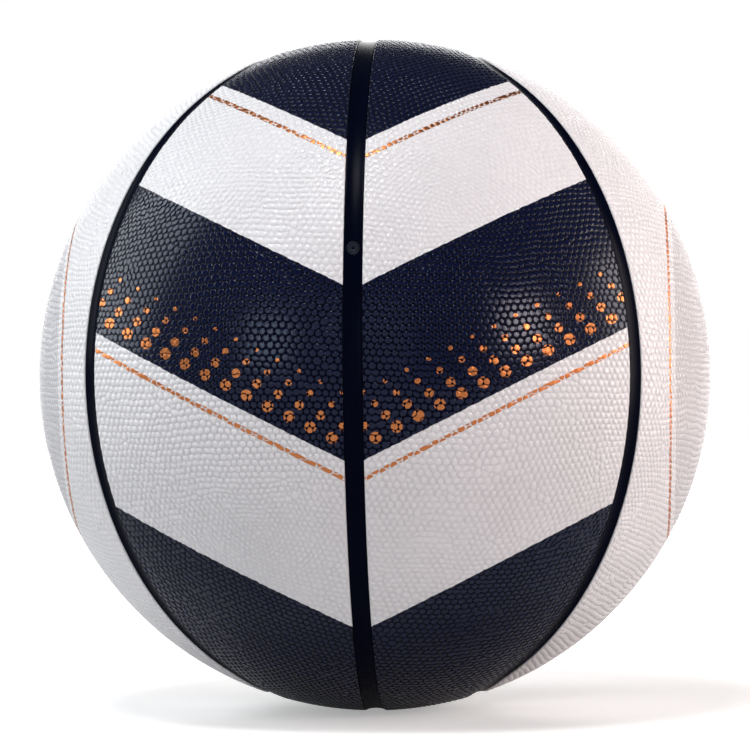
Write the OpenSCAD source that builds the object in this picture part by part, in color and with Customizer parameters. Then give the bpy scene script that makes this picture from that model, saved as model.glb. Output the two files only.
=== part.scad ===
// Basketball: eight cover panels and seven laid-in channel strips on a wound carcass, with a push-in valve.
// Millimetres, +Z up. The middle of the ball is the origin, the front is -Y and the valve is in the front channel.
// Two straight channels cross at the top and the bottom; a long oval channel rings each side.

/* [Ball] */
// Diameter of the ball over its cover panels
ball_d = 240; // [236:0.5:248]
// Thickness of a cover panel
panel_t = 1.6; // [1.4:0.05:2.2]

/* [Channels] */
// Width of a channel, from panel to panel
channel_w = 6.4; // [5.6:0.1:8]
// Gap between a channel strip and its neighbours
strip_gap = 0.1; // [0.05:0.05:0.2]
// Thickness of a channel strip
strip_t = 0.7; // [0.5:0.05:1.1]

/* [Oval channels] */
// From the middle of a side to the long arm of its oval, along the surface
oval_half_w = 83.2; // [78:0.2:88]
// From the middle of a side to the end of its oval, along the surface
oval_half_l = 153; // [148:0.5:157]
// Distance from the middle of the ball to the plane of a long arm
arm_offset = 7.7; // [5:0.1:10]
// How far a round end of an oval stands outside its arms where they run together
lap = 0.06; // [0.04:0.01:0.1]

/* [Inner layers] */
// Adhesive film between one layer and the next
film = 0.2; // [0.2:0.05:0.4]
// Thickness of the rubber carcass under the panels
carcass_t = 1; // [0.8:0.05:1.6]
// Thickness of the nylon winding
winding_t = 0.6; // [0.4:0.05:1]
// Thickness of the bladder
bladder_t = 0.7; // [0.6:0.05:1.2]

/* [Valve] */
// How far up from the middle of the front channel the valve lies, in degrees
valve_lift = 20; // [0:0.5:35]
// Diameter of the needle hole through the valve core
needle_d = 2; // [1.6:0.1:2.2]
// Diameter of the valve core
core_d = 4.8; // [4.4:0.1:5]
// Length of the valve core
core_l = 14; // [11:0.5:18]
// Radial clearance of the valve core in its seat
core_clear = 0.05; // [0.02:0.01:0.08]
// Radial clearance of the valve core in the channel strip
core_strip_clear = 0.1; // [0.06:0.01:0.1]
// How far the head of the valve core lies below the channel strip
core_sink = 0.1; // [0:0.05:0.3]
// Width of the lead-in at the mouth of the needle hole
lead_in = 0.4; // [0.2:0.05:0.6]
// Wall of the valve seat around its core
seat_wall = 2.1; // [1.5:0.1:3]
// Floor of the valve seat that stops its core
seat_floor = 1.4; // [1:0.1:2.5]
// Width of the ledge at the floor of the valve seat that stops its core
seat_ledge = 0.5; // [0.3:0.05:0.7]
// End play between the valve core and the floor of its seat
core_end_play = 0.2; // [0.1:0.05:0.4]
// Diameter of the flange of the valve seat inside the bladder
flange_d = 24; // [18:0.5:32]
// Thickness of the flange of the valve seat
flange_t = 1.1; // [0.8:0.05:1.6]

/* [Hidden] */
$fn = 120;

// Radii of the layers, from the outside in
ball_r = ball_d / 2;
floor_r = ball_r - panel_t;
carcass_r = floor_r - film;
carcass_in = carcass_r - carcass_t;
winding_r = carcass_in - film;
winding_in = winding_r - winding_t;
bladder_r = winding_in - film;
bladder_in = bladder_r - bladder_t;

// Half widths of a channel and of the strip in it
channel_h = channel_w / 2;
strip_h = channel_h - strip_gap;
strip_r = floor_r + strip_t;

// How far cutters run past the faces that they cut
over = 1;
reach = 2 * ball_r;

// An oval is two long arms, each in a plane, and two round ends, each on a cone from near the middle of the ball
side_angle = oval_half_w / ball_r * 180 / PI;
end_angle = oval_half_l / ball_r * 180 / PI;
arm_angle = acos(arm_offset / ball_r);
arm_turn = arm_angle - side_angle;
round_angle = atan2(
    cos(arm_turn) * cos(end_angle) - cos(arm_angle),
    sin(arm_angle) - cos(arm_turn) * sin(end_angle)
);
round_lift = end_angle - round_angle;
arm_sweep = atan2(sin(round_lift), sin(arm_turn) * cos(round_lift));
arm_to_round = arm_angle - round_angle;
// Stations along the valve, measured from the middle of the ball
core_r = core_d / 2;
core_top = strip_r - core_sink;
core_foot = core_top - core_l;
seat_bore_r = core_r + core_clear;
seat_r = seat_bore_r + seat_wall;
seat_step = core_foot - core_end_play;
seat_foot = seat_step - seat_floor;
seat_hole_r = seat_r + film;

// A point that lies out from an arm's axis and up along it, taken out from and up along a round end's axis
function from_round(out, up) = [
    out * cos(arm_to_round) - up * sin(arm_to_round),
    out * sin(arm_to_round) + up * cos(arm_to_round)
];

// What lies inside the front arm of the right-hand oval, t in from the middle of its channel
module inside_arm(t) {
    corners = [for (turn = [-arm_sweep, 0, arm_sweep]) reach * [sin(turn), -cos(turn)]];
    rotate([0, 90, arm_turn])
        translate([0, 0, arm_offset + t])
            linear_extrude(height = reach)
                polygon(concat([[0, 0]], corners));
}

// What lies inside the upper end of the right-hand oval, t in from the middle of its channel
module inside_round(t) {
    low = from_round(floor_r - over, arm_offset + t - lap);
    high = from_round(ball_r + over, arm_offset + t - lap);
    rotate([0, 90 - round_lift, 0])
        rotate_extrude()
            polygon([low, high, [high[0], reach], [0, reach], [0, low[1]]]);
}

// What lies inside the front half of the right-hand oval
module inside_oval(t) {
    inside_arm(t);
    inside_round(t);
    mirror([0, 0, 1])
        inside_round(t);
}

// A hollow ball
module shell(outer, inner) {
    difference() {
        sphere(r = outer);
        sphere(r = inner);
    }
}

// The front right quarter of the cover, between the straight channels
module cover_quarter() {
    intersection() {
        rotate([0, 90, 0])
            shell(ball_r, floor_r);
        translate([channel_h, -reach, -reach])
            cube([reach, reach - channel_h, 2 * reach]);
    }
}

module long_panel() {
    difference() {
        cover_quarter();
        inside_oval(-channel_h);
    }
}

module half_oval_panel() {
    intersection() {
        cover_quarter();
        inside_oval(channel_h);
    }
}

// Everything ahead of the strip in the channel that runs round the sides
module ahead_of_ring() {
    translate([-reach, -reach, -reach])
        cube([2 * reach, reach - strip_h - strip_gap, 2 * reach]);
}

// A band of strip along the straight channel round Z
module straight_strip() {
    intersection() {
        shell(strip_r, floor_r);
        translate([-reach, -reach, -strip_h])
            cube([2 * reach, 2 * reach, 2 * strip_h]);
    }
}

module meridian_strip() {
    intersection() {
        rotate([0, 90, 0])
            straight_strip();
        ahead_of_ring();
    }
}

module oval_strip() {
    difference() {
        intersection() {
            rotate([0, 90, 0])
                shell(strip_r, floor_r);
            inside_oval(-strip_h);
            ahead_of_ring();
        }
        inside_oval(strip_h);
    }
}

// Stands what is drawn up along Z on the valve, from a station outwards
module along_valve(from) {
    rotate([90 - valve_lift, 0, 0])
        translate([0, 0, from])
            children();
}

// A round bar along the valve from one station to another
module valve_bar(r, from, to) {
    along_valve(from)
        cylinder(r = r, h = to - from);
}

// An inner layer of the ball with the valve's way through it
module layer(outer, inner, hole_r) {
    difference() {
        rotate([0, 90, 0])
            shell(outer, inner);
        valve_bar(hole_r, 0, reach);
    }
}

module panel_front_right() {
    color("midnightblue")
        long_panel();
}

module panel_front_left() {
    color("midnightblue")
        mirror([1, 0, 0])
            long_panel();
}

module panel_rear_right() {
    color("midnightblue")
        mirror([0, 1, 0])
            long_panel();
}

module panel_rear_left() {
    color("midnightblue")
        rotate([0, 0, 180])
            long_panel();
}

module side_panel_front_right() {
    color("whitesmoke")
        half_oval_panel();
}

module side_panel_front_left() {
    color("whitesmoke")
        mirror([1, 0, 0])
            half_oval_panel();
}

module side_panel_rear_right() {
    color("whitesmoke")
        mirror([0, 1, 0])
            half_oval_panel();
}

module side_panel_rear_left() {
    color("whitesmoke")
        rotate([0, 0, 180])
            half_oval_panel();
}

module channel_ring() {
    color("black")
        rotate([90, 0, 0])
            straight_strip();
}

module channel_front() {
    color("black")
        difference() {
            meridian_strip();
            valve_bar(core_r + core_strip_clear, 0, reach);
        }
}

module channel_rear() {
    color("black")
        mirror([0, 1, 0])
            meridian_strip();
}

module oval_channel_front_right() {
    color("black")
        oval_strip();
}

module oval_channel_front_left() {
    color("black")
        mirror([1, 0, 0])
            oval_strip();
}

module oval_channel_rear_right() {
    color("black")
        mirror([0, 1, 0])
            oval_strip();
}

module oval_channel_rear_left() {
    color("black")
        rotate([0, 0, 180])
            oval_strip();
}

module carcass() {
    color("dimgray")
        layer(carcass_r, carcass_in, seat_hole_r);
}

module winding() {
    color("wheat")
        layer(winding_r, winding_in, seat_hole_r);
}

module bladder() {
    color("darkslategray")
        layer(bladder_r, bladder_in, seat_hole_r);
}

// The seat's tube is bonded through the layers, and its flange lies against the inside of the bladder
module valve_seat() {
    color("gray")
        difference() {
            union() {
                valve_bar(seat_r, seat_foot, carcass_r);
                intersection() {
                    layer(bladder_in - film, bladder_in - film - flange_t, seat_r / 2);
                    valve_bar(flange_d / 2, 0, reach);
                }
            }
            valve_bar(seat_bore_r, seat_step, reach);
            valve_bar(core_r - seat_ledge, 0, reach);
        }
}

module valve_core() {
    color("silver")
        along_valve(core_foot)
            rotate_extrude()
                polygon([
                    [needle_d / 2, 0], [core_r, 0], [core_r, core_l],
                    [needle_d / 2 + lead_in, core_l], [needle_d / 2, core_l - lead_in]
                ]);
}

panel_front_left();
panel_front_right();
panel_rear_left();
panel_rear_right();
side_panel_front_left();
side_panel_front_right();
side_panel_rear_left();
side_panel_rear_right();
channel_ring();
channel_front();
channel_rear();
oval_channel_front_left();
oval_channel_front_right();
oval_channel_rear_left();
oval_channel_rear_right();
carcass();
winding();
bladder();
valve_seat();
valve_core();
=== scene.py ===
"""The looks of a basketball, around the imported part.

The pebbled cover panels, the hollow channel strips and the valve core are modelled here and take the place
of the part's own. The layers under them keep the part's solids and get new finishes.
"""

import math
import random

import bmesh
import bpy
from mathutils import Matrix, Vector, noise


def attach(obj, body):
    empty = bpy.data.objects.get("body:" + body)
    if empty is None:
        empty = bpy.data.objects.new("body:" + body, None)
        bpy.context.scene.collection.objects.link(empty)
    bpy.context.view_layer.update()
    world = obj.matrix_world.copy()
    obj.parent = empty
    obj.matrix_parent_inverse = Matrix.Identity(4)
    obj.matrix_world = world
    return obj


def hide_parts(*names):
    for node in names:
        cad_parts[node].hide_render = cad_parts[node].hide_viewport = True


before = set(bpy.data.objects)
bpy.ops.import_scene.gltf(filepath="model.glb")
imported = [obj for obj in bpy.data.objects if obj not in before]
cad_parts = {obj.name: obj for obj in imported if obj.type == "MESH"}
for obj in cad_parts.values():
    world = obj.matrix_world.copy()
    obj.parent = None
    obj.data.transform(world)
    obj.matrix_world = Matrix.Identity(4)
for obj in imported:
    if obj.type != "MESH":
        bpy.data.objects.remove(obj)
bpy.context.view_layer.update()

# Sizes, in metres, as in the part's source
MM = 0.001
BALL_R = 120 * MM
COVER_FOOT_R = 118.4 * MM
CHANNEL_HALF_W = 3.2 * MM
OVAL_HALF_W = 83.2 * MM
OVAL_HALF_L = 153 * MM
ARM_OFFSET = 7.7 * MM
VALVE_LIFT = math.radians(20)
VALVE_HOLE_R = 2.5 * MM
CORE_R = 2.4 * MM
CORE_TOP = 119 * MM
CORE_FOOT = 105 * MM

# An oval channel has two long arms, each a circle about its own axis, and two round ends
SIDE_ANGLE = OVAL_HALF_W / BALL_R
END_ANGLE = OVAL_HALF_L / BALL_R
ARM_ANGLE = math.acos(ARM_OFFSET / BALL_R)
ARM_TURN = ARM_ANGLE - SIDE_ANGLE
ROUND_ANGLE = math.atan2(
    math.cos(ARM_TURN) * math.cos(END_ANGLE) - math.cos(ARM_ANGLE),
    math.sin(ARM_ANGLE) - math.cos(ARM_TURN) * math.sin(END_ANGLE),
)
ROUND_LIFT = END_ANGLE - ROUND_ANGLE
ARM_SWEEP = math.atan2(math.sin(ROUND_LIFT), math.sin(ARM_TURN) * math.cos(ROUND_LIFT))
ARM_TO_ROUND = ARM_ANGLE - ROUND_ANGLE
X_AXIS, Y_AXIS, Z_AXIS = (Vector(row) for row in Matrix.Identity(3))
CENTRE = (0, 0, 0)
ARM_AXIS = Vector((math.cos(ARM_TURN), math.sin(ARM_TURN), 0))
ARM_MIDDLE = Vector((math.sin(ARM_TURN), -math.cos(ARM_TURN), 0))
UPPER_AXIS = Vector((math.cos(ROUND_LIFT), 0, math.sin(ROUND_LIFT)))
LOWER_AXIS = Vector((math.cos(ROUND_LIFT), 0, -math.sin(ROUND_LIFT)))
VALVE_AXIS = Vector((0, -math.cos(VALVE_LIFT), math.sin(VALVE_LIFT)))

# Section of a pebble from the valley up: width and height of its shoulder and its crown, and its dome
SHOULDER = (0.22 * MM, 0.26 * MM)
CROWN = (0.3 * MM, 0.11 * MM)
DOME_H = 0.03 * MM
PEBBLE_H = SHOULDER[1] + CROWN[1] + DOME_H
PEBBLE_CLEAR = 0.02 * MM
VALLEY_R = BALL_R - PEBBLE_H - PEBBLE_CLEAR

# Room in a cell and the size of the pebble that it gets, from roomy cells to narrow ones
PEBBLE_SIZES = ((0.57 * MM, 1), (0.46 * MM, 0.8), (0.35 * MM, 0.6), (0.24 * MM, 0.4), (0.12 * MM, 0.2))

# Rows of pebbles: their number on one side of the twenty-sided start, their swirl, and how loose they are
PEBBLE_ROWS = 60
SWIRL_SIZE = 34 * MM
SWIRL_SHIFT = 4 * MM
TURNED_EDGES = 0.006
TURNED_SEED = 7
EVENING = 0.5
EVENING_ROUNDS = 5
PEBBLE_SHIFT = 0.8 * MM
SHIFT_SEED = 11

# Necks, where some neighbours along a row run together, in loose patches
NECK_H = 0.27 * MM
NECK_FROM = 0.18 * MM
NECK_SHARE = 0.7
NECK_MORE = 0.3
NECK_PATCH = 22 * MM
NECK_SEED = 5
ROW_TURN = 1.2
ROW_ANGLE = math.radians(32)

# Limits used in shaping: what is short, thin, touching, not raised, on the outer side, facing out and smooth
SHORT_SIDE = 0.3 * MM
SLIVER = 0.25 * MM
TOUCH = 0.001 * MM
VALLEY_BAND = 0.05 * MM
OUTER_BAND = 0.1 * MM
FACING = 0.5
SMOOTH_ANGLE = math.radians(52)

# Flat map for baking: the half that a side of a panel gets, and the free edge round it
PAPER_HALF = 0.5
PAPER_EDGE = 0.006

# Channel strips: half width, radius at the middle and at the edge of the hollow, and the gap to the ring
STRIP_HALF_W = 3.0 * MM
STRIP_LOW_R = 119.05 * MM
STRIP_EDGE_R = 119.5 * MM
STRIP_POINTS = 14
STRIP_STEP = math.radians(0.5)
LIP = 0.12 * MM
BUTT_GAP = 0.05 * MM

# Valve hole in the front strip: the punch, and the eased rim
PUNCH_H = 20 * MM
RIM_EASE = 0.15 * MM
RIM_STEPS = 2
RIM_ANGLE = math.radians(40)
RIM_TOUCH = 20 * TOUCH
RIM_MERGE = 5 * TOUCH

# Valve core: its rounded rim, its dish, the dimple round the pinhole that a needle opens, and its eased foot
HEAD_RIM_R = 0.32 * MM
HEAD_RIM_POINTS = 6
DISH = 0.2 * MM
DIMPLE_R = 0.75 * MM
DIMPLE = 0.3 * MM
PINHOLE_R = 0.3 * MM
CORE_EASE = 0.25 * MM
CORE_STEPS = 64

# Half turns that take a piece from the front right of the ball to its other places
HALF_TURNS = (("front_left", "Y"), ("rear_left", "Z"), ("rear_right", "X"))

# Print of the cover, on lines that climb outwards from the middle channel
PRINT_EDGE = 0.1 * MM
PRINT_WANDER_SIZE = 2.2 * MM
PRINT_WANDER = 0.7 * MM
CHEVRON_SLOPE = 0.5
CHEVRON_MIDDLE = (-30 * MM, 27 * MM)
CHEVRON_TOP = 76 * MM
CHEVRON_FOOT = -86 * MM
FOIL_LINES = (70 * MM, -36 * MM)
FOIL_HALF_W = 0.8 * MM
DOT_PITCH = 7 * MM
DOT_ROWS = ((-24.5 * MM, 1.9 * MM), (-19 * MM, 1.5 * MM), (-13.5 * MM, 1.1 * MM), (-8 * MM, 0.7 * MM))
SIDE_FIELD = 106 * MM
SIDE_LINE = (SIDE_FIELD - 3 * FOIL_HALF_W, SIDE_FIELD - 2 * FOIL_HALF_W)

# Finish of the cover, by the rise of a place from the valley, 0, to the tops, 1
TOP_R = BALL_R - 0.05 * MM
VALLEY_TOP = 0.7
FOIL_TOPS = (0.0, 0.12)
LEVEL_TOP = (0.7, 0.92)
LEVELLING = 0.9
# Painted shade in the pebble valleys: how strongly pale ink and dark ink are darkened there
PALE_VALLEY_PAINTED_SHADE = 0.12
DARK_VALLEY_PAINTED_SHADE = 1
CLOUD_SIZE = 26 * MM
CLOUD_SPAN = (0.3, 0.7)
CLOUD_TINT = (0.96, 1)
GRAIN_SIZE = 0.35 * MM
GRAIN_DEPTH = 0.02 * MM
GRAIN_DETAIL = 3
COVER_ROUGH = 0.1
SPECK_ROUGH = 0.1
VALLEY_ROUGH = 0.3
FOIL_ROUGH = 0.18
COVER_SPECULAR = 0.5

# Rubber of the channel strips
CHANNEL_GRAIN = 0.5 * MM
CHANNEL_GRAIN_DEPTH = 0.01 * MM
CHANNEL_CLOUD = 9 * MM
CHANNEL_ROUGH = 0.2
CHANNEL_SPECK = 0.14
CHANNEL_SPECULAR = 0.015

# Moulded rubber of the valve and the hidden layers
RUBBER_GRAIN = 0.25 * MM
RUBBER_GRAIN_FLATNESS = 10
RUBBER_CLOUD = 7 * MM
RUBBER_CLOUD_DETAIL = 4
RUBBER_SPECK = 0.2
RUBBER_SPECULAR = 0.18
CORE_GRAIN = 0.5 * MM
CORE_ROUGH = 0.3

# Thread of the winding: the axes that it runs round, its pitch, and the patches where one way lies on top
THREAD_AXES = ((0.8, 0.6, 0), (-0.3, 0.9, 0.3), (0.1, -0.5, 0.86), (0.6, 0, -0.8), (0.5, 0.7, 0.5))
THREAD_PITCH = 1.1 * MM
THREAD_DEPTH = 0.2 * MM
THREAD_PATCH = 24 * MM
PATCH_SHIFT = 40 * MM
PATCH_EDGE = (0.46, 0.54)
# Share of the thread's painted shade that follows the height of the thread; the rest darkens the layers
# beneath
THREAD_PAINTED_SHADE = 0.75
THREAD_ROUGH = 0.75
THREAD_SHINE = 0.2
THREAD_SPECULAR = 0.3

# Camera
CAMERA_AZIMUTH = math.radians(3.454)
CAMERA_HEIGHT = math.radians(-0.383)
CAMERA_ROLL = math.radians(-0.512)
CAMERA_DISTANCE = 9.724 * BALL_R
CAMERA_LENS = 155.8
CAMERA_SENSOR = 36

# Air and floor: their light, the air that gloss sees as white, and where the floor runs out in white
PLAIN_WHITE = (1, 1, 1, 1)
AIR_LIGHT = 0.1
BACKDROP = (0.8, 1)
FLOOR_SIZE = 12
FLOOR_ROUGH = 0.9
FLOOR_GLOW = 0.35
FLOOR_MIRRORED = 0.14
FLOOR_BOUNCE = (0.6, 0.6, 0.6, 1)
FLOOR_WHITE = (0.92, 0.92, 0.92, 1)
FLOOR_NEAR = 0.25
FLOOR_FAR = 0.7

# Lamps: azimuth right of the front and height in degrees, distance, width and height, power, colour
LAMPS = (
    ("key", -20, 66, 1.6, (0.46, 0.38), 14, (0.97, 1, 1)),
    ("front", -14, 5, 2, (2.2, 1.4), 5.5, (1, 0.99, 0.98)),
    ("left_window", -31, 10, 1.5, (0.34, 0.38), 1.6, (0.82, 0.92, 1)),
    ("right_window", 53, 14, 1.5, (0.38, 0.38), 6.4, (1, 0.82, 0.77)),
    ("left_wrap", -95, 25, 1.6, (1, 1.2), 15, (0.97, 1, 1)),
    ("right_wrap", 104, 6, 1.6, (1, 1.2), 22, (1, 0.88, 0.82)),
    ("rear_fill", 180, 12, 1.6, (1.4, 1), 11, (1, 1, 1)),
)


def deselect():
    """Leaves nothing selected, out of edit mode."""
    if bpy.context.object and bpy.context.object.mode != "OBJECT":
        bpy.ops.object.mode_set(mode="OBJECT")
    bpy.ops.object.select_all(action="DESELECT")


def pick(piece):
    """Selects one piece alone."""
    deselect()
    bpy.context.view_layer.objects.active = piece
    piece.select_set(True)


def open_edit(piece, kind="FACE"):
    """Opens a piece in edit mode with nothing selected."""
    pick(piece)
    bpy.ops.object.mode_set(mode="EDIT")
    bpy.ops.mesh.select_mode(type=kind)
    bpy.ops.mesh.select_all(action="DESELECT")


def close_edit():
    """Leaves edit mode."""
    bpy.ops.object.mode_set(mode="OBJECT")


def select_faces(piece, wanted):
    """In edit mode, selects the faces that wanted() takes."""
    mesh = bmesh.from_edit_mesh(piece.data)
    for face in mesh.faces:
        face.select = wanted(face)
    mesh.select_flush_mode()
    bmesh.update_edit_mesh(piece.data)


def apply_modifier(piece, kind, **settings):
    """Adds a modifier, sets it up and applies it."""
    pick(piece)
    modifier = piece.modifiers.new(kind.title(), kind)
    for name, value in settings.items():
        setattr(modifier, name, value)
    bpy.ops.object.modifier_apply(modifier=modifier.name)


def copy_of(piece, name):
    """A copy of a piece with its own mesh."""
    pick(piece)
    bpy.ops.object.duplicate()
    copy = bpy.context.object
    copy.name = name
    copy.data.name = name
    return copy


def turn_half(piece, axis):
    """Turns a piece half round about an axis through the middle of the ball, in its mesh."""
    pick(piece)
    bpy.ops.transform.rotate(
        value=math.pi, orient_axis=axis, center_override=CENTRE, orient_type="GLOBAL"
    )
    bpy.ops.object.transform_apply(location=True, rotation=True, scale=True)


def round_off(piece):
    """Brings all corners of a piece back to the ball at the foot of the pebbles."""
    apply_modifier(piece, "CAST", cast_type="SPHERE", factor=1, use_radius_as_size=False, size=VALLEY_R)


def pebble_grid():
    """A ball of triangles in gently swirling rows, with one corner for each pebble."""
    deselect()
    bpy.ops.mesh.primitive_ico_sphere_add(subdivisions=1, radius=VALLEY_R)
    grid = bpy.context.object
    grid.name = "pebble_grid"
    open_edit(grid)
    bpy.ops.mesh.select_all(action="SELECT")
    bpy.ops.mesh.subdivide(number_cuts=PEBBLE_ROWS - 1)
    close_edit()
    round_off(grid)
    swirl = bpy.data.textures.new("pebble_swirl", "CLOUDS")
    swirl.cloud_type = "COLOR"
    swirl.noise_scale = SWIRL_SIZE
    apply_modifier(
        grid, "DISPLACE", texture=swirl, texture_coords="LOCAL", direction="RGB_TO_XYZ", strength=SWIRL_SHIFT
    )
    round_off(grid)
    return grid


def oval_circle(point, inward, radius):
    """The circle that bounds the right-hand oval near a point, as its axis and its height along that axis."""
    along = math.atan2(point.z, point.dot(ARM_MIDDLE))
    if abs(along) <= ARM_SWEEP:
        return ARM_AXIS, ARM_OFFSET + inward
    angle = math.acos((ARM_OFFSET + inward) / radius) - ARM_TO_ROUND
    return (UPPER_AXIS if point.z > 0 else LOWER_AXIS), radius * math.cos(angle)


def long_borders(point):
    """The circles that bound the front right long panel, each with its axis towards the panel."""
    axis, level = oval_circle(point, -CHANNEL_HALF_W, VALLEY_R)
    return (X_AXIS, CHANNEL_HALF_W), (-Y_AXIS, CHANNEL_HALF_W), (-axis, -level)


def half_oval_borders(point):
    """The circles that bound the front right half-oval panel, each with its axis towards the panel."""
    axis, level = oval_circle(point, CHANNEL_HALF_W, VALLEY_R)
    return (-Y_AXIS, CHANNEL_HALF_W), (axis, level)


def oval_corners(inward):
    """Where the right-hand oval meets the channel round the sides."""
    _, level = oval_circle(Z_AXIS, inward, VALLEY_R)
    reach = math.sqrt(VALLEY_R**2 - CHANNEL_HALF_W**2)
    angle = ROUND_LIFT + math.acos(level / reach)
    x, z = reach * math.cos(angle), reach * math.sin(angle)
    return [Vector((x, -CHANNEL_HALF_W, height)) for height in (z, -z)]


def pole_corners():
    """Where the two straight channels meet."""
    z = math.sqrt(VALLEY_R**2 - 2 * CHANNEL_HALF_W**2)
    return [Vector((CHANNEL_HALF_W, -CHANNEL_HALF_W, height)) for height in (z, -z)]


def depths_at(point, borders):
    """How far a point lies in from each border, along the ball."""
    depths = []
    for axis, level in borders(point):
        depth = VALLEY_R * (math.asin(point.dot(axis) / point.length) - math.asin(level / VALLEY_R))
        depths.append(0 if abs(depth) < TOUCH else depth)
    return depths


def on_circle(point, axis, level):
    """The nearest place to a point on a circle of the ball."""
    flat = point - axis * point.dot(axis)
    return axis * level + flat.normalized() * math.sqrt(VALLEY_R**2 - level**2)


def trim(patch, borders, corners):
    """Keeps what lies inside the borders, with the nearest corners of the grid drawn onto them."""
    mesh = bmesh.new()
    mesh.from_mesh(patch.data)
    for corner in corners:
        nearest = min(mesh.verts, key=lambda vertex: (vertex.co - corner).length_squared)
        nearest.co = corner
    depths = {vertex: depths_at(vertex.co, borders) for vertex in mesh.verts}
    for edge in mesh.edges:
        one, other = edge.verts
        for i in range(len(depths[one])):
            if depths[one][i] * depths[other][i] < 0:
                near = min(edge.verts, key=lambda vertex: abs(depths[vertex][i]))
                if min(depths[near][:i] + depths[near][i + 1 :]) >= 0:
                    near.co = on_circle(near.co, *borders(near.co)[i])
                    depths[near] = depths_at(near.co, borders)
    outside = [vertex for vertex in mesh.verts if min(depths[vertex]) < 0]
    bmesh.ops.delete(mesh, geom=outside, context="VERTS")
    slivers = [face for face in mesh.faces if min(depths_at(face.calc_center_median(), borders)) < SLIVER]
    bmesh.ops.delete(mesh, geom=slivers, context="FACES")
    mesh.to_mesh(patch.data)
    mesh.free()


def loosen(patch):
    """Turns a few edges of a patch about, so that some pebbles get five or seven neighbours."""
    draw = random.Random(TURNED_SEED)
    open_edit(patch, "EDGE")
    mesh = bmesh.from_edit_mesh(patch.data)
    for edge in mesh.edges:
        inside = not any(vertex.is_boundary for vertex in edge.verts)
        edge.select = inside and draw.random() < TURNED_EDGES
    bmesh.update_edit_mesh(patch.data)
    bpy.ops.mesh.edge_rotate()
    close_edit()


def even_out(patch):
    """Evens the spacing inside a trimmed patch, then shifts each pebble a little."""
    open_edit(patch, "VERT")
    bpy.ops.mesh.select_non_manifold()
    bpy.ops.mesh.select_all(action="INVERT")
    bpy.ops.mesh.vertices_smooth(factor=EVENING, repeat=EVENING_ROUNDS)
    bpy.ops.transform.vertex_random(offset=PEBBLE_SHIFT, seed=SHIFT_SEED)
    close_edit()
    round_off(patch)


def cell_maker():
    """Nodes that turn each corner of a grid into a cell."""
    group = bpy.data.node_groups.new("pebble_cells", "GeometryNodeTree")
    for way in ("INPUT", "OUTPUT"):
        group.interface.new_socket("Geometry", in_out=way, socket_type="NodeSocketGeometry")
    grid_in = group.nodes.new("NodeGroupInput")
    cells_out = group.nodes.new("NodeGroupOutput")
    cells = group.nodes.new("GeometryNodeDualMesh")
    cells.inputs["Keep Boundaries"].default_value = True
    group.links.new(grid_in.outputs[0], cells.inputs["Mesh"])
    group.links.new(cells.outputs[0], cells_out.inputs[0])
    return group


def close_back(panel):
    """Gives a panel its inner face and its edge wall."""
    open_edit(panel, "EDGE")
    bpy.ops.mesh.select_all(action="SELECT")
    bpy.ops.mesh.duplicate()
    inner = COVER_FOOT_R / VALLEY_R
    bpy.ops.transform.resize(value=(inner, inner, inner), center_override=CENTRE)
    bpy.ops.mesh.flip_normals()
    bpy.ops.mesh.select_all(action="DESELECT")
    bpy.ops.mesh.select_non_manifold()
    bpy.ops.mesh.bridge_edge_loops()
    close_edit()


def faces_out(face):
    """True for a face of the outer side of a panel."""
    middle = face.calc_center_median()
    return middle.length > VALLEY_R - OUTER_BAND and face.normal.dot(middle) > FACING * middle.length


def in_valley(vertex):
    """True for a corner of the outer side that hasn't been raised."""
    return abs(vertex.co.length - VALLEY_R) < VALLEY_BAND


def draw_pits_out(panel):
    """Draws the pits next to the edge of a panel out to it."""
    mesh = bmesh.from_edit_mesh(panel.data)
    for vertex in mesh.verts:
        vertex.tag = all(faces_out(face) for face in vertex.link_faces)
    onto = {}
    for edge in mesh.edges:
        inner, outer = sorted(edge.verts, key=lambda vertex: not vertex.tag)
        if inner.tag and not outer.tag:
            onto[inner] = outer
    bmesh.ops.weld_verts(mesh, targetmap=onto)
    bmesh.update_edit_mesh(panel.data)


def open_pits(panel):
    """Cuts each corner between three cells off to the middle of their edges, so that the cells only touch."""
    bpy.ops.mesh.select_mode(type="VERT")
    mesh = bmesh.from_edit_mesh(panel.data)
    for vertex in mesh.verts:
        vertex.select = all(faces_out(face) for face in vertex.link_faces)
    mesh.select_flush_mode()
    bmesh.update_edit_mesh(panel.data)
    bpy.ops.mesh.bevel(affect="VERTICES", offset_type="PERCENT", offset_pct=50, segments=1)
    bpy.ops.mesh.remove_doubles(threshold=SHORT_SIDE)
    draw_pits_out(panel)
    bpy.ops.mesh.select_mode(type="FACE")


def is_cell(face):
    """True for a cell that hasn't been raised, and not for the pits between cells."""
    return len(face.verts) > 3 and faces_out(face) and all(in_valley(vertex) for vertex in face.verts)


def room_in(face):
    """How far the sides of a face can move in before one of them is used up."""
    room = math.inf
    for corner in face.loops:
        lost = 1 / math.tan(corner.calc_angle() / 2) + 1 / math.tan(corner.link_loop_next.calc_angle() / 2)
        if lost > 0:
            room = min(room, corner.edge.calc_length() / lost)
    return room


def raise_cells(panel, wanted, size):
    """Raises the wanted cells to pebbles of a size, each with a shoulder, a crown and a domed top."""
    select_faces(panel, wanted)
    for width, height in (SHOULDER, CROWN):
        bpy.ops.mesh.inset(thickness=width * size, depth=height * size, use_individual=True)
    bpy.ops.mesh.poke(offset=DOME_H * size)


def runs_together(place, across, chance):
    """True for some of the neighbours of a row, in loose patches."""
    out = place.normalized()
    turn = ROW_TURN * noise.noise(place / NECK_PATCH)
    row = Matrix.Rotation(turn, 3, out) @ Z_AXIS.cross(out).normalized()
    patchy = max(0, noise.noise(place / NECK_PATCH + X_AXIS) + NECK_MORE)
    return abs(across.normalized().dot(row)) > math.cos(ROW_ANGLE) and chance < NECK_SHARE * patchy


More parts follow.
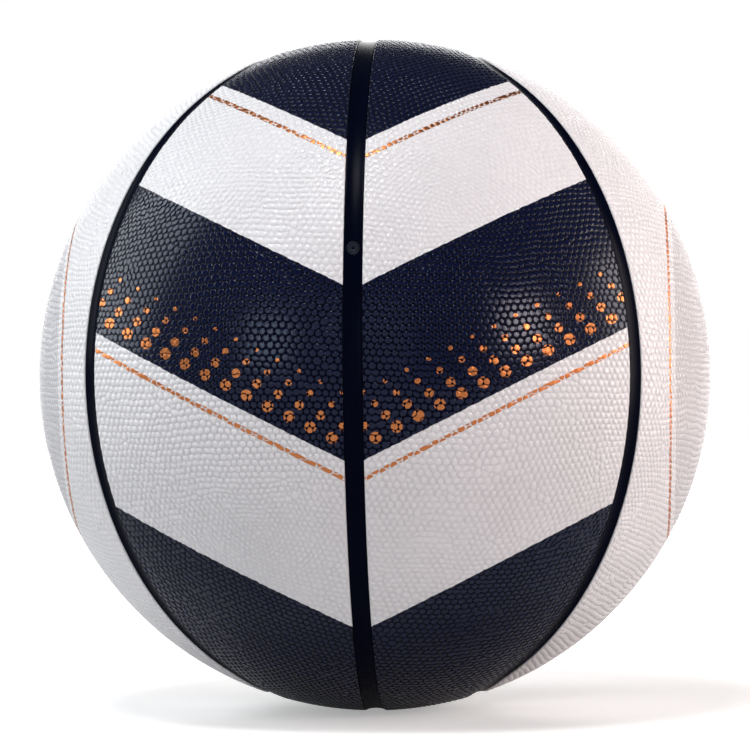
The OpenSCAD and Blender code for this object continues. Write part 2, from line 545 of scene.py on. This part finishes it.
def raise_necks(panel):
    """Lifts the place where some neighbours touch, so that they run together."""
    draw = random.Random(NECK_SEED)
    mesh = bmesh.from_edit_mesh(panel.data)
    for vertex in mesh.verts:
        nearby = [edge.other_vert(vertex) for edge in vertex.link_edges]
        raised = [other for other in nearby if other.co.length > VALLEY_R + NECK_FROM]
        if in_valley(vertex) and len(raised) == 2 and all(faces_out(face) for face in vertex.link_faces):
            if runs_together(vertex.co, raised[1].co - raised[0].co, draw.random()):
                vertex.co *= (VALLEY_R + NECK_H) / VALLEY_R
    bmesh.update_edit_mesh(panel.data)


def raise_pebbles(panel):
    """Raises every cell of a panel, less where it is small or cut by the edge of the panel."""
    open_edit(panel)
    open_pits(panel)
    for room, size in PEBBLE_SIZES:
        raise_cells(panel, lambda face: is_cell(face) and room_in(face) > room, size)
    raise_necks(panel)
    close_edit()
    pick(panel)
    bpy.ops.object.shade_smooth_by_angle(angle=SMOOTH_ANGLE)


def flat_place(point, middle, right, up):
    """A place on the ball as a place on paper, true in its distance from the middle."""
    out = point.normalized()
    angle = middle.angle(out)
    stretch = angle / math.sin(angle) if angle > TOUCH else 1
    return out.dot(right) * stretch, out.dot(up) * stretch


def wall_laid_open(point, borders):
    """A place of a panel, moved out over the border by its depth if it lies on the edge wall."""
    depth = VALLEY_R - point.length
    if depth <= OUTER_BAND:
        return point
    near = zip(borders(point), depths_at(point, borders))
    return point - depth * sum((axis for (axis, _), away in near if away < SLIVER), Vector())


def lay_flat(panel, borders):
    """The panel's map for baking: outer side and edge wall on the left half, inner side on the right."""
    mesh = panel.data
    middle = sum((vertex.co for vertex in mesh.vertices), Vector()).normalized()
    right = Z_AXIS.cross(middle).normalized()
    axes = (middle, right, middle.cross(right))
    inside = [flat_place(vertex.co, *axes) for vertex in mesh.vertices]
    outside = [flat_place(wall_laid_open(vertex.co, borders), *axes) for vertex in mesh.vertices]
    low = [min(spot[i] for spot in outside) for i in (0, 1)]
    high = [max(spot[i] for spot in outside) for i in (0, 1)]
    paper = mesh.uv_layers.new(name="OFBake")
    for face in mesh.polygons:
        back = face.normal.dot(face.center) < -FACING * face.center.length
        for loop in face.loop_indices:
            spot = (inside if back else outside)[mesh.loops[loop].vertex_index]
            across, along = ((spot[i] - low[i]) / (high[i] - low[i]) for i in (0, 1))
            half = 1 - across if back else across
            paper.data[loop].uv = (
                PAPER_EDGE + (PAPER_HALF - 2 * PAPER_EDGE) * half + (PAPER_HALF if back else 0),
                PAPER_EDGE + (1 - 2 * PAPER_EDGE) * along,
            )


def pebbled_panel(name, grid, cells, borders, corners):
    """One cover panel of the front right quarter."""
    panel = copy_of(grid, name)
    trim(panel, borders, corners)
    loosen(panel)
    even_out(panel)
    apply_modifier(panel, "NODES", node_group=cells)
    close_back(panel)
    raise_pebbles(panel)
    lay_flat(panel, borders)
    return panel


def make_panels():
    """The eight cover panels: one long and one half-oval panel, turned to their other places."""
    grid = pebble_grid()
    cells = cell_maker()
    corners = oval_corners(-CHANNEL_HALF_W) + pole_corners()
    long_panel = pebbled_panel("pebbled_panel_front_right", grid, cells, long_borders, corners)
    half_oval = pebbled_panel(
        "pebbled_side_panel_front_right", grid, cells, half_oval_borders, oval_corners(CHANNEL_HALF_W)
    )
    bpy.data.objects.remove(grid)
    panels = [long_panel, half_oval]
    for first in (long_panel, half_oval):
        for place, axis in HALF_TURNS:
            panel = copy_of(first, first.name.replace("front_right", place))
            turn_half(panel, axis)
            panels.append(panel)
    for panel in panels:
        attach(panel, "ball")
        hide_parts(panel.name.replace("pebbled_", ""))
    return panels


def hollow_at(across):
    """Radius of the hollow top of a channel strip, some way across from its middle."""
    return STRIP_LOW_R + (STRIP_EDGE_R - STRIP_LOW_R) * min(1, (across / STRIP_HALF_W) ** 2)


def strip_outline():
    """The section of a channel strip, hollow on top with eased lips, as places across it with their radii."""
    top_half_w = STRIP_HALF_W - LIP
    steps = [2 * i / STRIP_POINTS - 1 for i in range(STRIP_POINTS + 1)]
    top = [(top_half_w * step, hollow_at(top_half_w * step)) for step in steps]
    lip_r = STRIP_EDGE_R - LIP
    right_wall = [(STRIP_HALF_W, lip_r), (STRIP_HALF_W, COVER_FOOT_R)]
    left_wall = [(-STRIP_HALF_W, COVER_FOOT_R), (-STRIP_HALF_W, lip_r)]
    return top + right_wall + left_wall


def start_strip(name, axis, toward, offset, lean):
    """Sets a strip's section up beside an axis, offset along it and leaning towards it, open in edit mode."""
    outline = strip_outline()
    deselect()
    bpy.ops.mesh.primitive_circle_add(vertices=len(outline), fill_type="NOTHING", radius=STRIP_HALF_W)
    strip = bpy.context.object
    strip.name = name
    strip.data.name = name
    for vertex, (across, radius) in zip(strip.data.vertices, outline):
        angle = math.acos((offset + across) / radius) - lean
        vertex.co = radius * (math.cos(angle) * axis + math.sin(angle) * toward)
    open_edit(strip, "EDGE")
    bpy.ops.mesh.select_all(action="SELECT")
    return strip


def sweep(axis, angle):
    """Spins the section that is selected about an axis through the middle of the ball."""
    bpy.ops.mesh.spin(steps=math.ceil(angle / STRIP_STEP), angle=-angle, center=CENTRE, axis=axis)


def close_sweep(piece, cut):
    """Cuts a swept piece off against the strip round the sides, if it meets it, and closes and smooths it."""
    if cut:
        bpy.ops.mesh.select_all(action="SELECT")
        end = (0, -STRIP_HALF_W - BUTT_GAP, 0)
        bpy.ops.mesh.bisect(plane_co=end, plane_no=Y_AXIS, use_fill=True, clear_outer=True)
    bpy.ops.mesh.select_all(action="SELECT")
    bpy.ops.mesh.remove_doubles(threshold=TOUCH)
    bpy.ops.mesh.normals_make_consistent(inside=False)
    close_edit()
    pick(piece)
    bpy.ops.object.shade_smooth_by_angle(angle=SMOOTH_ANGLE)
    return piece


def ring_strip():
    """The strip round the sides, with the hollows of the channels that meet it run through its lips."""
    strip = start_strip("rubber_channel_ring", Y_AXIS, X_AXIS, 0, 0)
    sweep(Y_AXIS, 2 * math.pi)
    close_sweep(strip, cut=False)
    meetings = [END_ANGLE, math.pi / 2, math.pi - END_ANGLE]
    for vertex in strip.data.vertices:
        angle = abs(math.atan2(vertex.co.z, vertex.co.x))
        across = BALL_R * min(abs(angle - meeting) for meeting in meetings)
        if across < STRIP_HALF_W and vertex.co.length > hollow_at(across):
            vertex.co *= hollow_at(across) / vertex.co.length
    return strip


def front_strip():
    """The strip of the straight channel down the front."""
    strip = start_strip("rubber_channel_front", X_AXIS, Z_AXIS, 0, 0)
    sweep(X_AXIS, math.pi)
    return close_sweep(strip, cut=True)


def oval_strip():
    """The strip of the front half of the right-hand oval: a round end, the long arm and a round end."""
    far_end = Vector((math.cos(END_ANGLE), 0, math.sin(END_ANGLE)))
    toward = (far_end - UPPER_AXIS * far_end.dot(UPPER_AXIS)).normalized()
    joint = (UPPER_AXIS * ARM_AXIS.dot(UPPER_AXIS) - ARM_AXIS).normalized()
    round_sweep = toward.angle(joint)
    strip = start_strip("rubber_oval_channel_front_right", UPPER_AXIS, toward, ARM_OFFSET, ARM_TO_ROUND)
    sweep(UPPER_AXIS, round_sweep)
    sweep(ARM_AXIS, 2 * ARM_SWEEP)
    sweep(LOWER_AXIS, round_sweep)
    return close_sweep(strip, cut=True)


def on_valve_rim(vertex):
    """True for a corner on the outer rim of the valve hole."""
    out = vertex.co.dot(VALVE_AXIS)
    away = (vertex.co - out * VALVE_AXIS).length
    return abs(away - VALVE_HOLE_R) < RIM_TOUCH and out > STRIP_LOW_R - LIP


def open_valve_hole(strip):
    """Cuts the valve's way through the front strip and eases its rim."""
    deselect()
    bpy.ops.mesh.primitive_cylinder_add(vertices=CORE_STEPS, radius=VALVE_HOLE_R, depth=PUNCH_H)
    punch = bpy.context.object
    punch.location = COVER_FOOT_R * VALVE_AXIS
    punch.rotation_euler = (math.pi / 2 - VALVE_LIFT, 0, 0)
    apply_modifier(strip, "BOOLEAN", operation="DIFFERENCE", solver="EXACT", object=punch)
    bpy.data.objects.remove(punch)
    open_edit(strip, "EDGE")
    mesh = bmesh.from_edit_mesh(strip.data)
    for edge in mesh.edges:
        on_rim = all(on_valve_rim(vertex) for vertex in edge.verts)
        edge.select = on_rim and edge.calc_face_angle(0) > RIM_ANGLE
    bmesh.update_edit_mesh(strip.data)
    bpy.ops.mesh.bevel(offset=RIM_EASE, segments=RIM_STEPS)
    bpy.ops.mesh.select_all(action="SELECT")
    bpy.ops.mesh.remove_doubles(threshold=RIM_MERGE)
    close_edit()
    pick(strip)
    bpy.ops.object.shade_smooth_by_angle(angle=SMOOTH_ANGLE)


def make_strips():
    """The seven channel strips: the ring, the front and rear ones, and the four halves of the ovals."""
    front = front_strip()
    rear = copy_of(front, "rubber_channel_rear")
    turn_half(rear, "Z")
    open_valve_hole(front)
    strips = [ring_strip(), front, rear]
    oval = oval_strip()
    strips.append(oval)
    for place, axis in HALF_TURNS:
        strips.append(copy_of(oval, oval.name.replace("front_right", place)))
        turn_half(strips[-1], axis)
    for strip in strips:
        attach(strip, "ball")
        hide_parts(strip.name.replace("rubber_", ""))
    return strips


def core_outline():
    """The section of the valve core, as distances from its axis with their stations along it."""
    turns = [math.pi * i / HEAD_RIM_POINTS for i in range(HEAD_RIM_POINTS + 1)]
    arc = [(HEAD_RIM_R * math.cos(turn), HEAD_RIM_R * math.sin(turn)) for turn in turns]
    rim = [(CORE_R - HEAD_RIM_R + across, CORE_TOP - HEAD_RIM_R + up) for across, up in arc]
    dish = CORE_TOP - DISH
    mouth = [(DIMPLE_R, dish), ((DIMPLE_R + PINHOLE_R) / 2, dish - DIMPLE / 3), (PINHOLE_R, dish - DIMPLE)]
    foot = [(PINHOLE_R, CORE_FOOT), (CORE_R - CORE_EASE, CORE_FOOT), (CORE_R, CORE_FOOT + CORE_EASE)]
    return rim + mouth + foot


def make_core():
    """The push-in core of the valve, turned round its axis, with a dished head and a pinhole."""
    outline = core_outline()
    deselect()
    bpy.ops.mesh.primitive_circle_add(vertices=len(outline), fill_type="NOTHING", radius=CORE_R)
    core = bpy.context.object
    core.name = "rubber_valve_core"
    core.data.name = core.name
    for vertex, (away, out) in zip(core.data.vertices, outline):
        vertex.co = away * X_AXIS + out * VALVE_AXIS
    open_edit(core, "EDGE")
    bpy.ops.mesh.select_all(action="SELECT")
    bpy.ops.mesh.spin(steps=CORE_STEPS, angle=2 * math.pi, center=CENTRE, axis=VALVE_AXIS)
    close_sweep(core, cut=False)
    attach(core, "valve_core")
    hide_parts("valve_core")
    return core


def put(tree, socket, value):
    """Sets a socket to a number or colour, or links it to another socket."""
    if isinstance(value, bpy.types.NodeSocket):
        tree.links.new(value, socket)
    else:
        socket.default_value = value


class Finish:
    """A node material that is being put together on a piece's own Object coordinates."""

    def __init__(self, name):
        self.material = bpy.data.materials.new(name)
        self.material.use_nodes = True
        self.tree = self.material.node_tree
        self.shader = self.tree.nodes["Principled BSDF"]
        self.place = self.node("ShaderNodeTexCoord").outputs["Object"]

    def node(self, kind, **settings):
        """A new node with its settings."""
        node = self.tree.nodes.new(kind)
        for name, value in settings.items():
            setattr(node, name, value)
        return node

    def put(self, socket, value):
        """Sets or links a socket of this material."""
        put(self.tree, socket, value)

    def set(self, **sockets):
        """Sets sockets of the shader, with _ for a space in their names."""
        for name, value in sockets.items():
            self.put(self.shader.inputs[name.replace("_", " ")], value)

    def math(self, how, *values, clamp=False):
        """A number made of others."""
        node = self.node("ShaderNodeMath", operation=how, use_clamp=clamp)
        for socket, value in zip(node.inputs, values):
            self.put(socket, value)
        return node.outputs[0]

    def vector(self, how, *values):
        """A vector made of others, or its length or product."""
        node = self.node("ShaderNodeVectorMath", operation=how)
        for socket, value in zip(node.inputs, values):
            self.put(socket, value)
        return node.outputs["Value" if how in ("LENGTH", "DOT_PRODUCT") else "Vector"]

    def step(self, value, low, high, start=0, end=1):
        """Goes smoothly from start to end while value goes from low to high."""
        node = self.node("ShaderNodeMapRange", interpolation_type="SMOOTHSTEP")
        for socket, setting in zip(node.inputs, (value, low, high, start, end)):
            self.put(socket, setting)
        return node.outputs["Result"]

    def band(self, value, low, high, soft):
        """1 where value lies between low and high, with soft edges."""
        rising = self.step(value, low - soft, low + soft)
        falling = self.step(value, high - soft, high + soft, 1, 0)
        return self.math("MULTIPLY", rising, falling)

    def mix(self, share, one, two, blend="MIX"):
        """A colour that goes from one to two by a share."""
        node = self.node("ShaderNodeMix", data_type="RGBA", blend_type=blend)
        for name, value in (("Factor_Float", share), ("A_Color", one), ("B_Color", two)):
            socket = next(s for s in node.inputs if s.identifier == name)
            self.put(socket, value)
        return next(s for s in node.outputs if s.identifier == "Result_Color")

    def noise(self, size, detail=2, place=None):
        """Noise from 0 to 1 with clumps of about that size."""
        node = self.node("ShaderNodeTexNoise")
        self.put(node.inputs["Vector"], place or self.place)
        self.put(node.inputs["Scale"], 1 / size)
        self.put(node.inputs["Detail"], detail)
        return node.outputs[0]

    def grain(self, height, depth, facing=None):
        """Stands the surface up and down by height, up to that depth."""
        node = self.node("ShaderNodeBump")
        if facing:
            self.put(node.inputs["Normal"], facing)
        self.put(node.inputs["Height"], height)
        self.put(node.inputs["Distance"], depth)
        self.set(Normal=node.outputs[0])


def linear(red, green, blue):
    """A colour as a shader takes it, from its values on a screen."""
    shares = [value / 255 for value in (red, green, blue)]
    levels = [((share + 0.055) / 1.055) ** 2.4 if share > 0.04 else share / 12.92 for share in shares]
    return (*levels, 1)


# Colours of the print, the painted shade in the valleys, and the tint of the gloss on pale ink, on dark ink
# and, as painted shade on the reflections, in the valleys of dark ink
WHITE = linear(233, 231, 235)
PALE_GREY = linear(230, 228, 232)
SIDE_GREY = linear(208, 206, 211)
NAVY = linear(8, 15, 46)
COPPER = linear(196, 122, 74)
# Painted shade: the colour that the pebble valleys are darkened towards
VALLEY_PAINTED_SHADE = linear(150, 146, 154)
PALE_GLOSS = (0.96, 0.98, 1, 1)
DARK_GLOSS = (0.45, 0.5, 0.56, 1)
# Painted shade on the reflections: the gloss tint in the valleys of dark ink
VALLEY_GLOSS_PAINTED_SHADE = (0.06, 0.06, 0.08, 1)

# Two tones each of the strips, the valve core and the thread; the thread's darker tone is painted shade in
# its grooves and on the layers beneath
CHANNEL_TONES = (linear(2, 4, 18), linear(4, 7, 24))
CORE_TONES = (linear(5, 11, 24), linear(14, 22, 40))
# Thread: its shaded tone and its lit tone, mixed by painted shade
THREAD_LIT_AND_SHADED_TONES = (linear(150, 138, 108), linear(232, 224, 200))

# Rubber layers that stay as the part's source makes them: node, finish, two tones and roughness
RUBBER_LAYERS = (
    ("carcass", "carcass_rubber", linear(44, 44, 46), linear(58, 57, 58), 0.6),
    ("bladder", "butyl_bladder", linear(30, 30, 32), linear(52, 51, 52), 0.45),
    ("valve_seat", "valve_seat_rubber", linear(36, 36, 38), linear(46, 46, 48), 0.5),
)


def cover_base(name):
    """The start of a printed cover: finish, rise of a place, and print places that wander a little."""
    finish = Finish(name)
    rise = finish.step(finish.vector("LENGTH", finish.place), VALLEY_R, TOP_R)
    wander = finish.node("ShaderNodeTexNoise")
    finish.put(wander.inputs["Vector"], finish.place)
    finish.put(wander.inputs["Scale"], 1 / PRINT_WANDER_SIZE)
    shift = finish.vector("SUBTRACT", wander.outputs["Color"], (0.5, 0.5, 0.5))
    spot = finish.vector("MULTIPLY_ADD", shift, (PRINT_WANDER,) * 3, finish.place)
    axes = finish.node("ShaderNodeSeparateXYZ")
    finish.put(axes.inputs[0], spot)
    return finish, rise, axes.outputs


def ink_colour(finish, valley, colour, foil, dark):
    """Paints shade into the valleys of a print, clouds it a little and lays the foil on."""
    # Painted shade: the colour darkens in the valleys, fully on dark ink and a little on pale ink
    painted_shade = finish.math("MULTIPLY_ADD", dark, DARK_VALLEY_PAINTED_SHADE - PALE_VALLEY_PAINTED_SHADE, PALE_VALLEY_PAINTED_SHADE)
    colour = finish.mix(finish.math("MULTIPLY", valley, painted_shade), colour, VALLEY_PAINTED_SHADE, "MULTIPLY")
    cloud = finish.step(finish.noise(CLOUD_SIZE, GRAIN_DETAIL), *CLOUD_SPAN, *CLOUD_TINT)
    colour = finish.mix(1, colour, cloud, "MULTIPLY")
    finish.set(Base_Color=finish.mix(foil, colour, COPPER), Metallic=foil)


def ink_gloss(finish, valley, speck, foil, dark):
    """Smooth tops and duller, rougher valleys, with less gloss on dark ink and painted shade darkening the
    gloss in its valleys.
    """
    rough = finish.math("MULTIPLY_ADD", speck, SPECK_ROUGH, COVER_ROUGH)
    rough = finish.math("MULTIPLY_ADD", valley, VALLEY_ROUGH, rough)
    rough = finish.math("MULTIPLY_ADD", foil, FOIL_ROUGH, rough, clamp=True)
    gloss = PALE_GLOSS
    if dark:
        gloss = finish.mix(dark, PALE_GLOSS, DARK_GLOSS)
        # Painted shade on the reflections: the gloss darkens in the valleys of dark ink
        gloss = finish.mix(finish.math("MULTIPLY", valley, dark), gloss, VALLEY_GLOSS_PAINTED_SHADE)
    finish.set(Roughness=rough, Specular_IOR_Level=COVER_SPECULAR, Specular_Tint=gloss)


def level_tops(finish, rise, speck, filled):
    """Turns the tops that ink or foil fills to face straight out of the ball, under a fine grain."""
    levelled = finish.math("MULTIPLY", filled, finish.step(rise, *LEVEL_TOP, 0, LEVELLING))
    facing = finish.node("ShaderNodeNewGeometry").outputs["Normal"]
    turn = finish.vector("SUBTRACT", finish.vector("NORMALIZE", finish.place), facing)
    scaled = finish.node("ShaderNodeVectorMath", operation="SCALE")
    finish.put(scaled.inputs[0], turn)
    finish.put(scaled.inputs["Scale"], levelled)
    turned = finish.vector("ADD", facing, scaled.outputs[0])
    finish.grain(speck, GRAIN_DEPTH, facing=finish.vector("NORMALIZE", turned))


def ink_cover(finish, rise, colour, foil, dark=0):
    """Takes a print to the shader, with foil on the pebbles and none in the valleys."""
    valley = finish.step(rise, 0, VALLEY_TOP, 1, 0)
    foil = finish.math("MULTIPLY", foil, finish.step(rise, *FOIL_TOPS))
    speck = finish.noise(GRAIN_SIZE, GRAIN_DETAIL)
    ink_colour(finish, valley, colour, foil, dark)
    ink_gloss(finish, valley, speck, foil, dark)
    level_tops(finish, rise, speck, finish.math("MAXIMUM", dark, foil))
    return finish.material


def foil_dots(finish, out, along):
    """Rows of foil dots that grow smaller up from the foot of the middle chevron."""
    dots = 0
    for number, (row, radius) in enumerate(DOT_ROWS):
        middle = DOT_PITCH * (number % 2) / 2
        across = finish.math("WRAP", out, middle + DOT_PITCH / 2, middle - DOT_PITCH / 2)
        across = finish.math("SUBTRACT", across, middle)
        up = finish.math("MULTIPLY_ADD", across, CHEVRON_SLOPE, finish.math("SUBTRACT", along, row))
        square = finish.math("MULTIPLY_ADD", across, across, finish.math("MULTIPLY", up, up))
        dot = finish.step(finish.math("SQRT", square), radius - PRINT_EDGE, radius + PRINT_EDGE, 1, 0)
        dots = finish.math("MAXIMUM", dots, dot)
    return dots


def long_cover():
    """Print of the long panels: chevrons that meet at the middle channel, with foil lines along them."""
    finish, rise, (x, _, z) = cover_base("printed_cover_chevrons")
    out = finish.math("ABSOLUTE", x)
    along = finish.math("MULTIPLY_ADD", out, -CHEVRON_SLOPE, z)
    middle = finish.band(along, *CHEVRON_MIDDLE, PRINT_EDGE)
    top = finish.step(along, CHEVRON_TOP - PRINT_EDGE, CHEVRON_TOP + PRINT_EDGE)
    foot = finish.step(along, CHEVRON_FOOT - PRINT_EDGE, CHEVRON_FOOT + PRINT_EDGE, 1, 0)
    navy = finish.math("MAXIMUM", finish.math("MAXIMUM", middle, top), foot)
    grey = finish.step(along, CHEVRON_MIDDLE[0] - PRINT_EDGE, CHEVRON_MIDDLE[0] + PRINT_EDGE, 1, 0)
    foil = foil_dots(finish, out, along)
    for line in FOIL_LINES:
        stripe = finish.band(along, line - FOIL_HALF_W, line + FOIL_HALF_W, PRINT_EDGE)
        foil = finish.math("MAXIMUM", foil, stripe)
    colour = finish.mix(grey, WHITE, PALE_GREY)
    colour = finish.mix(navy, colour, NAVY)
    return ink_cover(finish, rise, colour, foil, navy)


def side_cover():
    """Print of the half-oval panels: a pale field round the middle of each side, in a foil line."""
    finish, rise, (x, _, _) = cover_base("printed_cover_side_field")
    out = finish.math("ABSOLUTE", x)
    field = finish.step(out, SIDE_FIELD - PRINT_EDGE, SIDE_FIELD + PRINT_EDGE)
    foil = finish.band(out, *SIDE_LINE, PRINT_EDGE)
    return ink_cover(finish, rise, finish.mix(field, WHITE, SIDE_GREY), foil)


def channel_rubber():
    """Smooth black rubber with a satin skin and a faint mould grain."""
    finish = Finish("satin_channel_rubber")
    speck = finish.noise(CHANNEL_GRAIN, GRAIN_DETAIL)
    finish.set(Base_Color=finish.mix(finish.noise(CHANNEL_CLOUD), *CHANNEL_TONES))
    rough = finish.math("MULTIPLY_ADD", speck, CHANNEL_SPECK, CHANNEL_ROUGH)
    finish.set(Roughness=rough, Specular_IOR_Level=CHANNEL_SPECULAR)
    finish.grain(speck, CHANNEL_GRAIN_DEPTH)
    return finish.material


def moulded_rubber(name, dark, light, rough, grain=RUBBER_GRAIN):
    """Rubber of a hidden layer or of the valve, with mottled tone and a moulded grain."""
    finish = Finish(name)
    speck = finish.noise(grain, GRAIN_DETAIL)
    cloud = finish.step(finish.noise(RUBBER_CLOUD, RUBBER_CLOUD_DETAIL), *CLOUD_SPAN)
    finish.set(Base_Color=finish.mix(cloud, dark, light), Specular_IOR_Level=RUBBER_SPECULAR)
    finish.set(Roughness=finish.math("MULTIPLY_ADD", speck, RUBBER_SPECK, rough))
    finish.grain(speck, grain / RUBBER_GRAIN_FLATNESS)
    return finish.material


def wound_thread():
    """Nylon thread wound round and round in crossing directions, glued down, with painted shade: darker in
    its grooves and on the layers beneath.
    """
    finish = Finish("wound_nylon_thread")
    height, lap = 0, 0
    for number, axis in enumerate(THREAD_AXES):
        along = finish.vector("DOT_PRODUCT", finish.place, axis)
        turn = finish.math("MULTIPLY", along, 2 * math.pi / THREAD_PITCH)
        thread = finish.math("MULTIPLY_ADD", finish.math("SINE", turn), 0.5, 0.5)
        shift = finish.vector("ADD", finish.place, (number * PATCH_SHIFT, 0, 0))
        on_top = finish.step(finish.noise(THREAD_PATCH, 1, shift), *PATCH_EDGE)
        rest = finish.math("SUBTRACT", number / len(THREAD_AXES), lap)
        lap = finish.math("MULTIPLY_ADD", on_top, rest, lap)
        rest = finish.math("SUBTRACT", thread, height)
        height = finish.math("MULTIPLY_ADD", on_top, rest, height)
    # Painted shade: lighter on the ridges of the thread and on the layers on top, darker in the grooves and
    # beneath
    painted_shade = finish.math("MULTIPLY", lap, 1 - THREAD_PAINTED_SHADE)
    painted_shade = finish.math("MULTIPLY_ADD", height, THREAD_PAINTED_SHADE, painted_shade)
    finish.set(Base_Color=finish.mix(painted_shade, *THREAD_LIT_AND_SHADED_TONES), Specular_IOR_Level=THREAD_SPECULAR)
    finish.set(Roughness=finish.math("MULTIPLY_ADD", height, -THREAD_SHINE, THREAD_ROUGH))
    finish.grain(height, THREAD_DEPTH)
    return finish.material


def dress_layers(nodes):
    """Finishes of the pieces that stay as the part's source makes them."""
    dress_node(nodes["winding"], wound_thread())
    for node, *rubber in RUBBER_LAYERS:
        dress_node(nodes[node], moulded_rubber(*rubber))


def dress_node(node, material):
    """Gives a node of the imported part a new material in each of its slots."""
    for slot in node.material_slots:
        slot.material = material


def dress(piece, material):
    """Gives a piece one material all over."""
    piece.data.materials.clear()
    piece.data.materials.append(material)


def heading(azimuth, height):
    """The direction from the ball at an azimuth right of the front, and a height."""
    level = math.cos(height)
    return Vector((math.sin(azimuth) * level, -math.cos(azimuth) * level, math.sin(height)))


def set_camera():
    """The photograph's camera: a long lens a little to the right of the front, at the height of the ball."""
    back = heading(CAMERA_AZIMUTH, CAMERA_HEIGHT)
    level = Z_AXIS.cross(back).normalized()
    upright = back.cross(level)
    right = math.cos(CAMERA_ROLL) * level + math.sin(CAMERA_ROLL) * upright
    up = math.cos(CAMERA_ROLL) * upright - math.sin(CAMERA_ROLL) * level
    data = bpy.data.cameras.new("camera")
    data.lens = CAMERA_LENS
    data.sensor_width = CAMERA_SENSOR
    camera = bpy.data.objects.new("camera", data)
    bpy.context.scene.collection.objects.link(camera)
    place = Matrix((right, up, back)).transposed().to_4x4()
    place.translation = back * CAMERA_DISTANCE
    camera.matrix_world = place
    bpy.context.scene.camera = camera


def soft_lamp(name, azimuth, height, distance, size, power, colour):
    """A soft box that looks at the ball."""
    back = heading(math.radians(azimuth), math.radians(height))
    data = bpy.data.lights.new(name, "AREA")
    data.shape = "RECTANGLE"
    data.size, data.size_y = size
    data.energy = power
    data.color = colour
    lamp = bpy.data.objects.new(name, data)
    bpy.context.scene.collection.objects.link(lamp)
    lamp.location = back * distance
    lamp.rotation_euler = back.to_track_quat("Z", "Y").to_euler()


def join(tree, how, one, other):
    """One number made of two."""
    node = tree.nodes.new("ShaderNodeMath")
    node.operation = how
    put(tree, node.inputs[0], one)
    put(tree, node.inputs[1], other)
    return node.outputs[0]


def shows_white(tree, mirrored):
    """1 for what the camera sees, mirrored for what gloss and glass see, and 0 for the light on the ball."""
    path = tree.nodes.new("ShaderNodeLightPath")
    seen = join(tree, "MAXIMUM", path.outputs["Is Glossy Ray"], path.outputs["Is Transmission Ray"])
    seen = join(tree, "MULTIPLY", seen, mirrored)
    return join(tree, "MAXIMUM", seen, path.outputs["Is Camera Ray"])


def white_world():
    """Plain studio air: soft light on the ball, and white behind it."""
    world = bpy.data.worlds.new("studio")
    bpy.context.scene.world = world
    world.use_nodes = True
    tree = world.node_tree
    light = tree.nodes["Background"]
    light.inputs["Color"].default_value = PLAIN_WHITE
    light.inputs["Strength"].default_value = AIR_LIGHT
    white = tree.nodes.new("ShaderNodeBackground")
    white.inputs["Color"].default_value = PLAIN_WHITE
    behind = tree.nodes.new("ShaderNodeMapRange")
    behind.interpolation_type = "SMOOTHSTEP"
    behind.inputs["From Min"].default_value, behind.inputs["From Max"].default_value = BACKDROP
    axes = tree.nodes.new("ShaderNodeSeparateXYZ")
    tree.links.new(tree.nodes.new("ShaderNodeTexCoord").outputs["Generated"], axes.inputs[0])
    tree.links.new(axes.outputs["Y"], behind.inputs["Value"])
    choose = tree.nodes.new("ShaderNodeMixShader")
    tree.links.new(shows_white(tree, behind.outputs["Result"]), choose.inputs[0])
    tree.links.new(light.outputs[0], choose.inputs[1])
    tree.links.new(white.outputs[0], choose.inputs[2])
    tree.links.new(choose.outputs[0], tree.nodes["World Output"].inputs["Surface"])


def white_floor():
    """A plain pale floor that keeps the ball's shadow and runs out into the white behind it."""
    deselect()
    bpy.ops.mesh.primitive_plane_add(size=FLOOR_SIZE, location=(0, 0, -BALL_R))
    floor = bpy.context.object
    floor.name = "floor"
    bpy.ops.object.transform_apply(location=True, rotation=True, scale=True)
    finish = Finish("pale_floor")
    seen = shows_white(finish.tree, FLOOR_MIRRORED)
    far = finish.step(finish.vector("LENGTH", finish.place), FLOOR_NEAR, FLOOR_FAR)
    finish.set(Base_Color=finish.mix(seen, FLOOR_BOUNCE, FLOOR_WHITE))
    finish.set(Roughness=FLOOR_ROUGH, Specular_IOR_Level=0)
    glow = finish.node("ShaderNodeEmission")
    strength = finish.math("MULTIPLY", seen, finish.step(far, 0, 1, FLOOR_GLOW, 1))
    finish.put(glow.inputs["Strength"], strength)
    both = finish.node("ShaderNodeAddShader")
    finish.put(both.inputs[0], finish.shader.outputs[0])
    finish.put(both.inputs[1], glow.outputs[0])
    finish.put(finish.tree.nodes["Material Output"].inputs["Surface"], both.outputs[0])
    dress(floor, finish.material)


panels = make_panels()
strips = make_strips()
chevrons, side_field, rubber = long_cover(), side_cover(), channel_rubber()
for panel in panels:
    dress(panel, side_field if "side" in panel.name else chevrons)
for strip in strips:
    dress(strip, rubber)
dress(make_core(), moulded_rubber("valve_core_rubber", *CORE_TONES, CORE_ROUGH, CORE_GRAIN))
dress_layers(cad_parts)
bpy.context.scene.view_settings.view_transform = "Standard"
set_camera()
white_world()
white_floor()
for lamp in LAMPS:
    soft_lamp(*lamp)
